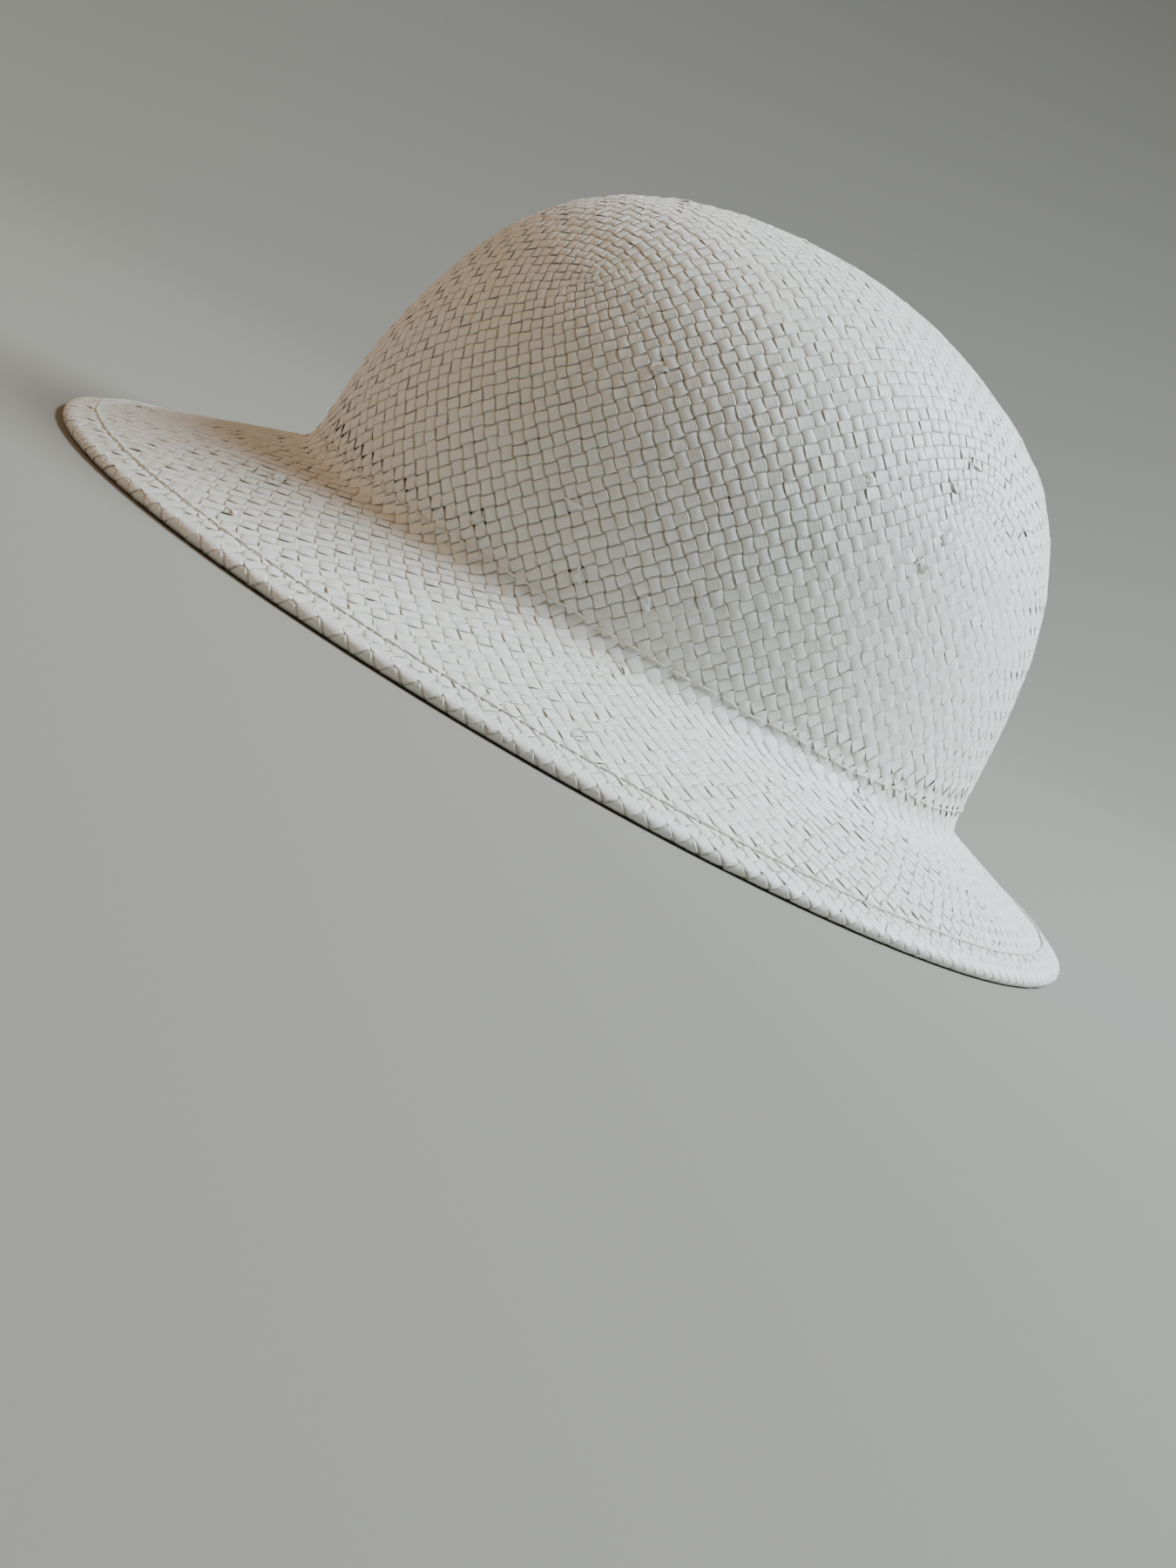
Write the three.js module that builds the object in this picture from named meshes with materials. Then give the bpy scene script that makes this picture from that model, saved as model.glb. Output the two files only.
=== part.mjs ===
// Cloche hat of woven paper straw: crown, brim and turned hem in one blocked piece, and the ribbon
// sewn inside the foot of the crown. Millimetres, +Z up, front of the hat at -Y, wearer's left at +X.
// The origin is on the surface that the brim rests on, at the middle of the hat's outline.
import * as THREE from 'three';
import { mergeVertices } from 'three/addons/utils/BufferGeometryUtils.js';

// Crown, outside; its height is from the foot, where it meets the brim, at the side
const CROWN_LENGTH = 204;
const CROWN_WIDTH = 165;
const CROWN_HEIGHT = 112;

// Brim: level reach from the foot of the crown to the edge, and the height of the foot above the
// surface that the edge rests on
const BRIM_REACH = { front: 62, side: 54, back: 45 };
const FOOT_HEIGHT = { front: 25, side: 24, back: 18.5 };
const FOLD_RADIUS = 3.4;

// Straw wall, and the hem that turns it under at the edge
const WALL = 1.6;
const EDGE_RADIUS = 1.9;
const HEM_WIDTH = 9;
const HEM_THICKNESS = 3;
const REST_CUT = 0.25;

// Ribbon inside the crown
const BAND_HEIGHT = 28;
const BAND_THICKNESS = 1.1;
const BAND_CLEARANCE = 0.3;
const BAND_ABOVE_FOLD = 1.4;

// Steps round the hat and along its section
const STEPS_ROUND = 68;
const STEPS_FOLD = 4;
const STEPS_BRIM = 5;
const STEPS_EDGE = 6;
const STEPS_BAND = 3;

// Crown sections from the top to the foot: height as a share of the crown's, reach as shares of its
// half length and half width
const CROWN_SECTIONS = [
  { height: 1.0, front: 0.0, side: 0.0, back: 0.0 },
  { height: 0.993, front: 0.15, side: 0.16, back: 0.14 },
  { height: 0.972, front: 0.31, side: 0.32, back: 0.29 },
  { height: 0.93, front: 0.467, side: 0.49, back: 0.44 },
  { height: 0.868, front: 0.61, side: 0.635, back: 0.603 },
  { height: 0.79, front: 0.72, side: 0.75, back: 0.737 },
  { height: 0.69, front: 0.81, side: 0.84, back: 0.83 },
  { height: 0.57, front: 0.879, side: 0.91, back: 0.903 },
  { height: 0.44, front: 0.93, side: 0.955, back: 0.95 },
  { height: 0.3, front: 0.97, side: 0.982, back: 0.977 },
  { height: 0.16, front: 0.991, side: 0.996, back: 0.991 },
];

// The hat's shape at one angle round it; angle 0 is the front and a quarter turn is the left
function blendRound(values, angle) {
  const front = Math.max(Math.cos(angle), 0) ** 2;
  const back = Math.max(-Math.cos(angle), 0) ** 2;
  return values.side + (values.front - values.side) * front + (values.back - values.side) * back;
}

function ovalRadius(front, side, back, angle) {
  const along = Math.cos(angle) / (Math.cos(angle) > 0 ? front : back);
  const across = Math.sin(angle) / side;
  return 1 / Math.hypot(along, across);
}

function footRadius(angle) {
  return ovalRadius(CROWN_LENGTH / 2, CROWN_WIDTH / 2, CROWN_LENGTH / 2, angle);
}

function edgeRadius(angle) {
  const front = CROWN_LENGTH / 2 + BRIM_REACH.front;
  const side = CROWN_WIDTH / 2 + BRIM_REACH.side;
  const back = CROWN_LENGTH / 2 + BRIM_REACH.back;
  return ovalRadius(front, side, back, angle);
}

// Outer side of the straw from the top of the crown to the edge, as points (radius, height)
function crownPoints(angle) {
  const foot = blendRound(FOOT_HEIGHT, angle);
  const height = FOOT_HEIGHT.side + CROWN_HEIGHT - foot;
  return CROWN_SECTIONS.map((row) => {
    const length = CROWN_LENGTH / 2;
    const reach = row.height < 1
      ? ovalRadius(row.front * length, row.side * CROWN_WIDTH / 2, row.back * length, angle)
      : 0;
    return new THREE.Vector2(reach, foot + row.height * height);
  });
}

function edgeCentre(angle) {
  return new THREE.Vector2(edgeRadius(angle) - EDGE_RADIUS, EDGE_RADIUS - REST_CUT);
}

function brimFrame(angle) {
  const foot = new THREE.Vector2(footRadius(angle), blendRound(FOOT_HEIGHT, angle));
  const centre = edgeCentre(angle);
  const out = centre.clone().sub(foot);
  const slope = Math.atan2(-out.y, out.x) - Math.asin(EDGE_RADIUS / out.length());
  const along = new THREE.Vector2(Math.cos(slope), -Math.sin(slope));
  const up = new THREE.Vector2(Math.sin(slope), Math.cos(slope));
  return { foot, centre, slope, along, up };
}

function foldPoints(angle) {
  const { foot, along } = brimFrame(angle);
  const start = new THREE.Vector2(footRadius(angle), foot.y + FOLD_RADIUS);
  const end = foot.clone().addScaledVector(along, FOLD_RADIUS);
  return new THREE.QuadraticBezierCurve(start, foot, end).getPoints(STEPS_FOLD);
}

function brimPoints(angle) {
  const { foot, centre, along, up } = brimFrame(angle);
  const start = foot.clone().addScaledVector(along, FOLD_RADIUS);
  const end = centre.clone().addScaledVector(up, EDGE_RADIUS);
  return new THREE.LineCurve(start, end).getPoints(STEPS_BRIM).slice(1);
}

function outerPoints(angle) {
  return [...crownPoints(angle), ...foldPoints(angle), ...brimPoints(angle)];
}

// The rolled edge: from the brim's outer side round to the underside of the hem, flat where it rests
function edgePoints(angle) {
  const { centre, slope, along, up } = brimFrame(angle);
  const flatHalf = Math.acos((EDGE_RADIUS - REST_CUT) / EDGE_RADIUS);
  const flatStart = Math.PI - slope - flatHalf;
  const flatEnd = Math.PI - slope + flatHalf;
  const last = 2 * Math.PI - Math.acos((EDGE_RADIUS - HEM_THICKNESS) / EDGE_RADIUS);
  const turns = [];
  for (let step = 1; step <= STEPS_EDGE; step += 1) {
    turns.push(flatStart * step / STEPS_EDGE);
  }
  turns.push(flatEnd, last);
  return turns.map((turn) => centre.clone()
    .addScaledVector(along, EDGE_RADIUS * Math.sin(turn))
    .addScaledVector(up, EDGE_RADIUS * Math.cos(turn)));
}

// Underside of the hem and the brim, from the edge back to the fold
function undersidePoints(angle) {
  const { foot, centre, along, up } = brimFrame(angle);
  const hemBack = centre.clone().addScaledVector(along, EDGE_RADIUS - HEM_WIDTH);
  const hemEnd = hemBack.clone().addScaledVector(up, EDGE_RADIUS - HEM_THICKNESS);
  const wallStart = hemBack.clone()
    .addScaledVector(along, WALL - HEM_THICKNESS)
    .addScaledVector(up, EDGE_RADIUS - WALL);
  const foldEnd = foot.clone()
    .addScaledVector(along, FOLD_RADIUS)
    .addScaledVector(up, -WALL);
  const brim = new THREE.LineCurve(wallStart, foldEnd).getPoints(STEPS_BRIM - 1);
  return [hemEnd, ...brim];
}

// A line of points moved inward by a distance, square to its own direction
function movedInward(points, distance) {
  return points.map((point, index) => {
    const before = points[Math.max(index - 1, 0)];
    const after = points[Math.min(index + 1, points.length - 1)];
    const inward = index === 0
      ? new THREE.Vector2(0, -1)
      : new THREE.Vector2(before.y - after.y, after.x - before.x).normalize().negate();
    return point.clone().addScaledVector(inward, distance);
  });
}

function bodySection(angle) {
  const outer = outerPoints(angle);
  const inner = movedInward([...crownPoints(angle), ...foldPoints(angle)], WALL);
  return [...outer, ...edgePoints(angle), ...undersidePoints(angle), ...inner.slice(0, -1).reverse()];
}

// Outer radius of the crown's straw at a height above the foot
function crownRadius(angle, above) {
  const foot = blendRound(FOOT_HEIGHT, angle);
  const points = crownPoints(angle).reverse();
  points.unshift(new THREE.Vector2(footRadius(angle), foot));
  const next = points.findIndex((point) => point.y > foot + above);
  const low = points[next - 1];
  const high = points[next];
  return low.x + (high.x - low.x) * (foot + above - low.y) / (high.y - low.y);
}

// The ribbon stands against the inside of the crown, from just above the fold
function bandSection(angle) {
  const foot = blendRound(FOOT_HEIGHT, angle);
  const low = FOLD_RADIUS + BAND_ABOVE_FOLD;
  const rows = [];
  for (let step = 0; step <= STEPS_BAND; step += 1) {
    rows.push(low + BAND_HEIGHT * step / STEPS_BAND);
  }
  const outerSide = rows.map((above) => {
    const radius = crownRadius(angle, above) - WALL - BAND_CLEARANCE;
    return new THREE.Vector2(radius, foot + above);
  });
  const innerSide = outerSide.map((point) => new THREE.Vector2(point.x - BAND_THICKNESS, point.y));
  const downOutside = outerSide.reverse();
  return [...downOutside, ...innerSide, downOutside[0].clone()];
}

// A solid turned from one section, then each of its sections moved to the shape at its own angle
function turnedSolid(name, sectionAt, material) {
  const profile = sectionAt(0).reverse();
  const geometry = new THREE.LatheGeometry(profile, STEPS_ROUND);
  const position = geometry.getAttribute('position');
  const middle = (BRIM_REACH.front - BRIM_REACH.back) / 2;
  for (let step = 0; step <= STEPS_ROUND; step += 1) {
    const angle = 2 * Math.PI * (step % STEPS_ROUND) / STEPS_ROUND;
    const section = sectionAt(angle).reverse();
    section.forEach((point, index) => {
      const x = point.x * Math.sin(angle);
      const y = middle - point.x * Math.cos(angle);
      position.setXYZ(step * profile.length + index, x, y, point.y);
    });
  }
  geometry.deleteAttribute('normal');
  geometry.deleteAttribute('uv');
  const solid = mergeVertices(geometry);
  solid.computeVertexNormals();
  const mesh = new THREE.Mesh(solid, material);
  mesh.name = name;
  return mesh;
}

const straw = new THREE.MeshStandardMaterial({ color: 0xe3ddd0, roughness: 0.62, metalness: 0 });
const ribbon = new THREE.MeshStandardMaterial({ color: 0xe8e2d4, roughness: 0.85, metalness: 0 });

const hat = new THREE.Group();
hat.name = 'cloche_hat';
hat.add(turnedSolid('woven_body', bodySection, straw));
hat.add(turnedSolid('sweatband', bandSection, ribbon));

export default hat;
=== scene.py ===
import math

import bpy
import numpy as np
from mathutils import Matrix, Vector
from mathutils.bvhtree import BVHTree


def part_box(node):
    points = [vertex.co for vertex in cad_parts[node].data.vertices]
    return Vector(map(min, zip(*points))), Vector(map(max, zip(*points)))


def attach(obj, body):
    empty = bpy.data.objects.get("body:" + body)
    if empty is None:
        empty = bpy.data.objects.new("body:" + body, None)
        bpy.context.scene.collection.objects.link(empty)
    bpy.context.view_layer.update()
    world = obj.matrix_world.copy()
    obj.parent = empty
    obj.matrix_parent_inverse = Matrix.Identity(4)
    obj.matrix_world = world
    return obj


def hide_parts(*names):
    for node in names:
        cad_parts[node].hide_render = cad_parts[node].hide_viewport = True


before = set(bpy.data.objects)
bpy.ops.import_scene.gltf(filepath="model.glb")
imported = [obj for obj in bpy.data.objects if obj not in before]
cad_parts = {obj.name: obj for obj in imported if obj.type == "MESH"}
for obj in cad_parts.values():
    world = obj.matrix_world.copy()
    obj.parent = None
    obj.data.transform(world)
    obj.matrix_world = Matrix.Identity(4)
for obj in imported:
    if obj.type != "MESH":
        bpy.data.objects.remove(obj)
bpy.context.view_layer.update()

hat_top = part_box("woven_body")[1].z
band_low, band_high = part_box("sweatband")
crown_middle = (band_low.y + band_high.y) / 2
chance = np.random.default_rng(seed=27)

# Camera: a little above the brim, square to the hat's left side, and rolled so that the hat
# sits at the slant at which it is worn.
VIEW_DISTANCE = 0.6535
VIEW_RISE = 0.1746
VIEW_TURN = 0.058
VIEW_ROLL = 0.5261
FOCAL_PIXELS = 2700
FRAME_HEIGHT_PIXELS = 1800
VIEW_CENTRE = Vector((0, crown_middle + 0.0097, -0.0210))

camera_data = bpy.data.cameras.new("camera")
camera_data.sensor_width = 36
camera_data.lens = camera_data.sensor_width * FOCAL_PIXELS / FRAME_HEIGHT_PIXELS
camera_data.clip_start = 0.02
camera = bpy.data.objects.new("camera", camera_data)
bpy.context.scene.collection.objects.link(camera)
away = Vector((
    math.cos(VIEW_TURN) * math.cos(VIEW_RISE),
    -math.sin(VIEW_TURN) * math.cos(VIEW_RISE),
    math.sin(VIEW_RISE),
))
camera.location = VIEW_CENTRE + away * VIEW_DISTANCE
level = away.to_track_quat("Z", "Y").to_matrix()
camera.rotation_euler = (level @ Matrix.Rotation(VIEW_ROLL, 3, "Z")).to_euler()
bpy.context.scene.camera = camera

# Floor and backdrop: one plain sheet, flat under the hat, that curves up on all sides into a wide
# bowl and leaves the top open to the light.
FLAT_RADIUS = 0.72
BOWL_CURVE = 1.5
BOWL_HEIGHT = 1.3
BOWL_STEPS = 28
FLOOR_COLOUR = (0.262, 0.243, 0.207, 1)


def new_material(name):
    """A material with nodes, its node tree and its shader."""
    material = bpy.data.materials.new(name)
    material.use_nodes = True
    return material, material.node_tree, material.node_tree.nodes["Principled BSDF"]


bpy.ops.object.select_all(action="DESELECT")
bpy.ops.mesh.primitive_circle_add(vertices=96, radius=FLAT_RADIUS, fill_type="NGON")
floor = bpy.context.object
floor.name = "floor"
bpy.ops.object.mode_set(mode="EDIT")
bpy.ops.mesh.select_mode(type="EDGE")
reach, height = FLAT_RADIUS, 0.0
for step in range(1, BOWL_STEPS + 1):
    new_height = BOWL_HEIGHT * (step / BOWL_STEPS) ** 2
    new_reach = FLAT_RADIUS + math.sqrt(2 * BOWL_CURVE * new_height)
    bpy.ops.mesh.extrude_edges_move(TRANSFORM_OT_translate={"value": (0, 0, new_height - height)})
    bpy.ops.transform.resize(value=(new_reach / reach, new_reach / reach, 1))
    reach, height = new_reach, new_height
bpy.ops.mesh.select_all(action="SELECT")
bpy.ops.mesh.normals_make_consistent(inside=True)
bpy.ops.object.mode_set(mode="OBJECT")
bpy.ops.object.shade_smooth()
paper, _, shader = new_material("floor_paper")
shader.inputs["Base Color"].default_value = FLOOR_COLOUR
shader.inputs["Roughness"].default_value = 0.9
floor.data.materials.append(paper)

# Light: a large cool window high behind the hat, a weak warm lamp above its front, and a dim even
# room.
LIT_POINT = Vector((0, 0, 0.06))
for name, place, size, power, colour in (
    ("window", (-0.05, 1.20, 1.50), 1.1, 95, (0.76, 0.90, 1.0)),
    ("lamp", (0.10, -1.30, 1.20), 1.0, 9.0, (1.0, 0.62, 0.34)),
):
    lamp_data = bpy.data.lights.new(name, "AREA")
    lamp_data.shape = "DISK"
    lamp_data.size = size
    lamp_data.energy = power
    lamp_data.color = colour
    lamp = bpy.data.objects.new(name, lamp_data)
    lamp.location = place
    lamp.rotation_euler = (Vector(place) - LIT_POINT).to_track_quat("Z", "Y").to_euler()
    bpy.context.scene.collection.objects.link(lamp)
world = bpy.data.worlds.new("room")
world.use_nodes = True
background = world.node_tree.nodes["Background"]
background.inputs["Color"].default_value = (1.0, 0.93, 0.80, 1)
background.inputs["Strength"].default_value = 0.07
bpy.context.scene.world = world

# The hat block: the smooth form that the straw is pressed to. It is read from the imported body,
# as meridians from the top of the crown, over the fold and down the brim to its edge.
MERIDIANS = 136
SHEET_DEPTH = 0.00045
EDGE_ROUND = 0.0019
REST_CUT = 0.00025
FOLD_SLOPE = math.radians(55)
FOLD_BELOW = 0.4
AIM_SHARE = 0.36
RAY_START = 0.5
RAY_TOP = 0.3
LINE_POINTS = 240
LINE_ROUNDS, RING_ROUNDS = 6, 6
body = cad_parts["woven_body"]
hat_skin = BVHTree.FromObject(body, bpy.context.evaluated_depsgraph_get())
aim = Vector((0, crown_middle, hat_top * AIM_SHARE))


def meridian_points(angle):
    """Outer side of the body at one angle round it, top to edge, as (radius, height)."""
    out = Vector((math.sin(angle), -math.cos(angle), 0))
    points = [(0.0, hat_top)]
    for degrees in np.arange(88, -3, -2.0):
        tilt = math.radians(degrees)
        ray = out * math.cos(tilt) + Vector((0, 0, math.sin(tilt)))
        hit = hat_skin.ray_cast(aim + ray * RAY_START, -ray)[0]
        points.append(((hit - aim).dot(out), hit.z))
    far = aim + out * RAY_START
    far.z = EDGE_ROUND - REST_CUT
    edge = hat_skin.ray_cast(far, -out)[0]
    edge_radius = (edge - aim).dot(out)
    start = points[-1][0]
    for share in np.linspace(0, 1, 46)[1:] ** 1.5:
        radius = start + (edge_radius - EDGE_ROUND - start) * share
        over = aim + out * radius
        over.z = RAY_TOP
        hit = hat_skin.ray_cast(over, Vector((0, 0, -1)))[0]
        points.append((radius, hit.z))
    return np.array(points)


def evenly(points, count):
    """The same line with points at equal steps along it, and its length."""
    steps = np.hypot(*np.diff(points, axis=0).T)
    gone = np.concatenate([[0], np.cumsum(steps)])
    where = np.linspace(0, gone[-1], count)
    return np.column_stack([np.interp(where, gone, points[:, k]) for k in (0, 1)]), gone[-1]


def smoothed(points, times):
    """The line with its facets rubbed down, its two ends kept."""
    for _ in range(times):
        middle = (points[:-2] + 2 * points[1:-1] + points[2:]) / 4
        points = np.vstack([points[:1], middle, points[-1:]])
        points[0] = (0, points[1][1])
    return points


CROWN_ROWS, BRIM_ROWS, HEM_ROWS = 119, 59, 40
ANGLES = np.arange(MERIDIANS) * 2 * math.pi / MERIDIANS
crown_lines, brim_lines, crown_lengths, brim_lengths = [], [], [], []
for angle in ANGLES:
    line = smoothed(evenly(meridian_points(angle), LINE_POINTS)[0], LINE_ROUNDS)
    slope = np.arctan2(-np.gradient(line[:, 1]), np.gradient(line[:, 0]))
    low = np.nonzero((line[:, 1] < hat_top * FOLD_BELOW) & (slope < FOLD_SLOPE))[0][0]
    upper, upper_length = evenly(line[:low + 1], CROWN_ROWS + 1)
    lower, lower_length = evenly(line[low:], BRIM_ROWS + 1)
    crown_lines.append(upper)
    brim_lines.append(lower)
    crown_lengths.append(upper_length)
    brim_lengths.append(lower_length)
sheet_lines = np.concatenate([crown_lines, np.array(brim_lines)[:, 1:]], axis=1)
for _ in range(RING_ROUNDS):
    sheet_lines = (np.roll(sheet_lines, 1, 0) + 2 * sheet_lines + np.roll(sheet_lines, -1, 0)) / 4

# The middle of the straw's thickness: the skin moved in a little, then round the edge and
# back under the brim as the turned hem. Rows run 0 to 1 on the crown, 1 to 2 on the brim and
# 2 to 3 round the edge and along the hem. A groove runs under the hem's stitches, and the brim
# swells a little between them and the edge, as it does over the turned straw.
HEM_WIDTH = 0.0078
HEM_SEAM = 0.0088
SEAM_GROOVE = 0.00045
SEAM_WIDTH = 0.0011
EDGE_SWELL = 0.0003
EDGE_TURN = EDGE_ROUND - SHEET_DEPTH
hem_length = math.pi * EDGE_TURN + HEM_WIDTH
run = np.gradient(sheet_lines, axis=1)
run /= np.linalg.norm(run, axis=2, keepdims=True)
outward = np.stack([-run[..., 1], run[..., 0]], axis=2)
middle_lines = sheet_lines - outward * SHEET_DEPTH
from_edge = np.array(brim_lengths)[:, None] * (1 - np.linspace(0, 1, BRIM_ROWS + 1))[None, 1:]
groove = -SEAM_GROOVE * np.exp(-((from_edge - HEM_SEAM) / SEAM_WIDTH) ** 2)
swell = EDGE_SWELL * np.sin(np.clip(from_edge / HEM_SEAM, 0, 1) * math.pi) ** 2
middle_lines[:, -BRIM_ROWS:] += outward[:, -BRIM_ROWS:] * (groove + swell)[..., None]
along, up = run[:, -1], outward[:, -1]
hub = sheet_lines[:, -1] - up * EDGE_ROUND
hem_points, hem_outward = [], []
for share in np.linspace(0, 1, HEM_ROWS + 1)[1:]:
    gone = share * hem_length
    turn = min(gone / EDGE_TURN, math.pi)
    back = max(gone - math.pi * EDGE_TURN, 0)
    facing = along * math.sin(turn) + up * math.cos(turn)
    hem_points.append(hub + facing * EDGE_TURN - along * back)
    hem_outward.append(facing)
middle_lines = np.concatenate([middle_lines, np.stack(hem_points, axis=1)], axis=1)
outward = np.concatenate([outward, np.stack(hem_outward, axis=1)], axis=1)
row_marks = np.concatenate([
    np.linspace(0, 1, CROWN_ROWS + 1),
    np.linspace(1, 2, BRIM_ROWS + 1)[1:],
    np.linspace(2, 3, HEM_ROWS + 1)[1:],
])


def on_sheet(angles, rows):
    """Places and outward normals on the straw sheet, by angle round the hat and row."""
    column = (angles / (2 * math.pi) * MERIDIANS) % MERIDIANS
    left = np.floor(column).astype(int) % MERIDIANS
    right = (left + 1) % MERIDIANS
    part = (column - np.floor(column))[:, None]
    where = np.interp(rows, row_marks, np.arange(len(row_marks)))
    above = np.minimum(np.floor(where).astype(int), len(row_marks) - 2)
    down = (where - above)[:, None]
    results = []
    for table in (middle_lines, outward):
        upper = table[left, above] * (1 - part) + table[right, above] * part
        lower = table[left, above + 1] * (1 - part) + table[right, above + 1] * part
        results.append(upper * (1 - down) + lower * down)
    flat, facing = results
    facing /= np.linalg.norm(facing, axis=1, keepdims=True)
    round_x, round_y = np.sin(angles), -np.cos(angles)
    places = np.column_stack([flat[:, 0] * round_x, crown_middle + flat[:, 0] * round_y, flat[:, 1]])
    normals = np.column_stack([facing[:, 0] * round_x, facing[:, 0] * round_y, facing[:, 1]])
    return places, normals


# The plaiting net. Its lines run round the hat and down its meridians, and the straw crosses
# itself on the middle of each line, so the strips lie on the bias. The top is a square mat with
# four corners, the sides have one column of net for each of the mat's edge squares, and the brim
# takes in new columns row by row as it widens.
MAT = 29
COLUMNS = 4 * MAT
MAT_REACH = 0.076
MAT_CORNER = 0.009
STRAW_PITCH = 0.0035
BRIM_NET_ROWS = 11
NEW_COLUMNS = 4
HEM_NET_ROWS = 2
NET_WANDER = 0.05
EVEN_ROUNDS = 70

foot_radius = np.array([line[-1, 0] for line in crown_lines])
arc_steps = foot_radius * 2 * math.pi / MERIDIANS
arc_marks = np.concatenate([[0], np.cumsum((arc_steps + np.roll(arc_steps, -1)) / 2)])
foot_round = arc_marks[-1]
arc_marks /= foot_round
angle_marks = np.append(ANGLES, 2 * math.pi)


def angle_at(share):
    """Angle round the hat at a share of the way round the crown's foot, from the front."""
    whole = np.floor(share)
    return np.interp(share - whole, arc_marks, angle_marks) + whole * 2 * math.pi


def length_at(lengths, angle):
    """Length of the crown's or the brim's meridian at an angle round the hat."""
    return np.interp(angle % (2 * math.pi), angle_marks, np.append(lengths, lengths[0]))


def mat_edge_row(angle):
    """Row at which the mat ends, further down at its four corners."""
    corner = (1 - np.cos(4 * angle)) / 2
    return (MAT_REACH + MAT_CORNER * (corner - 0.5) * 2) / length_at(crown_lengths, angle)


net_angle, net_row, net_faces = [], [], []
mat_index = {}
for j in range(MAT + 1):
    for i in range(MAT + 1):
        a, b = 2 * i / MAT - 1, 2 * j / MAT - 1
        reach = max(abs(a), abs(b))
        if -b >= abs(a):
            share = a / reach / 8
        elif a >= abs(b):
            share = 0.25 + b / reach / 8
        elif b >= abs(a):
            share = 0.5 - a / reach / 8
        else:
            share = 0.75 - b / reach / 8
        angle = float(angle_at(share))
        mat_index[i, j] = len(net_angle)
        net_angle.append(angle)
        net_row.append(reach * float(mat_edge_row(angle)))
for j in range(MAT):
    for i in range(MAT):
        corners = (i, j), (i + 1, j), (i + 1, j + 1), (i, j + 1)
        net_faces.append([mat_index[corner] for corner in corners])
mat_count = len(net_angle)
mat_ring = [mat_index[i, 0] for i in range(MAT)] + [mat_index[MAT, j] for j in range(MAT)]
mat_ring += [mat_index[MAT - i, MAT] for i in range(MAT)] + [mat_index[0, MAT - j] for j in range(MAT)]

side_length = float(np.mean(crown_lengths)) - MAT_REACH
side_rows = round(side_length / (STRAW_PITCH * math.sqrt(2)) * 0.95)
column_angles = np.array([angle_at((k - MAT / 2) / COLUMNS) for k in range(COLUMNS)])
ring = mat_ring
for step in range(1, side_rows + 1):
    share = (step / side_rows) ** 0.94
    new_ring = list(range(len(net_angle), len(net_angle) + COLUMNS))
    net_angle.extend(column_angles)
    net_row.extend(mat_edge_row(column_angles) * (1 - share) + share)
    for k in range(COLUMNS):
        after = (k + 1) % COLUMNS
        net_faces.append([new_ring[k], new_ring[after], ring[after], ring[k]])
    ring = new_ring

for step in range(1, BRIM_NET_ROWS + HEM_NET_ROWS + 1):
    on_brim = step <= BRIM_NET_ROWS
    row = 1 + step / BRIM_NET_ROWS if on_brim else 2 + (step - BRIM_NET_ROWS) / HEM_NET_ROWS
    count = len(ring)
    added = []
    if on_brim:
        quarter = count // NEW_COLUMNS
        shift = (step * 0.37) % 1
        for q in range(NEW_COLUMNS):
            added.append(int((q + (shift + 0.3 * chance.random()) % 1) * quarter) % count)
    new_ring, new_angles = [], []
    angles_before = [net_angle[v] for v in ring]
    for k in range(count):
        new_ring.append(len(net_angle) + len(new_ring))
        new_angles.append(angles_before[k])
        if k in added:
            following = angles_before[(k + 1) % count] + (2 * math.pi if k == count - 1 else 0)
            new_angles[-1] -= (following - angles_before[k]) * 0.25
            new_ring.append(len(net_angle) + len(new_ring))
            new_angles.append(angles_before[k] + (following - angles_before[k]) * 0.25)
    net_angle.extend(new_angles)
    net_row.extend([row] * len(new_ring))
    place = 0
    for k in range(count):
        if k in added:
            net_faces.append([new_ring[place], new_ring[place + 1], ring[k]])
            place += 1
        second = new_ring[(place + 1) % len(new_ring)]
        net_faces.append([new_ring[place], second, ring[(k + 1) % count], ring[k]])
        place += 1
    ring = new_ring
net_angle, net_row = np.array(net_angle), np.array(net_row)

# Settling the net: columns even out round the hat, the mat and the rows next to it spread over the
# dome, and each knot of the net wanders a little from its place, as hand-plaited straw does.
column_lines = np.array([
    (face[k], face[(k + 1) % len(face)]) for face in net_faces for k in range(len(face))
    if face[k] >= mat_count or face[(k + 1) % len(face)] >= mat_count
])
one, two = column_lines.T
stiff = np.where(net_row[one] == net_row[two], 1.0, 1.6)
for _ in range(EVEN_ROUNDS):
    total, weight = np.zeros(len(net_angle)), np.zeros(len(net_angle))
    gap = (net_angle[two] - net_angle[one] + math.pi) % (2 * math.pi) - math.pi
    np.add.at(total, one, gap * stiff)
    np.add.at(weight, one, stiff)
    np.add.at(total, two, -gap * stiff)
    np.add.at(weight, two, stiff)
    moved = total / np.maximum(weight, 1)
    moved[:mat_count] = 0
    net_angle = net_angle + 0.8 * moved
free = net_row < 2
net_angle = net_angle + free * chance.normal(0, NET_WANDER, len(net_angle)) * 2 * math.pi / COLUMNS
wander_down = chance.normal(0, NET_WANDER, len(net_row)) * STRAW_PITCH * math.sqrt(2)
row_length = np.where(net_row <= 1, np.mean(crown_lengths), np.mean(brim_lengths))
net_row = net_row + free * wander_down / row_length
net_places, net_normals = on_sheet(net_angle, net_row)

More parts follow.
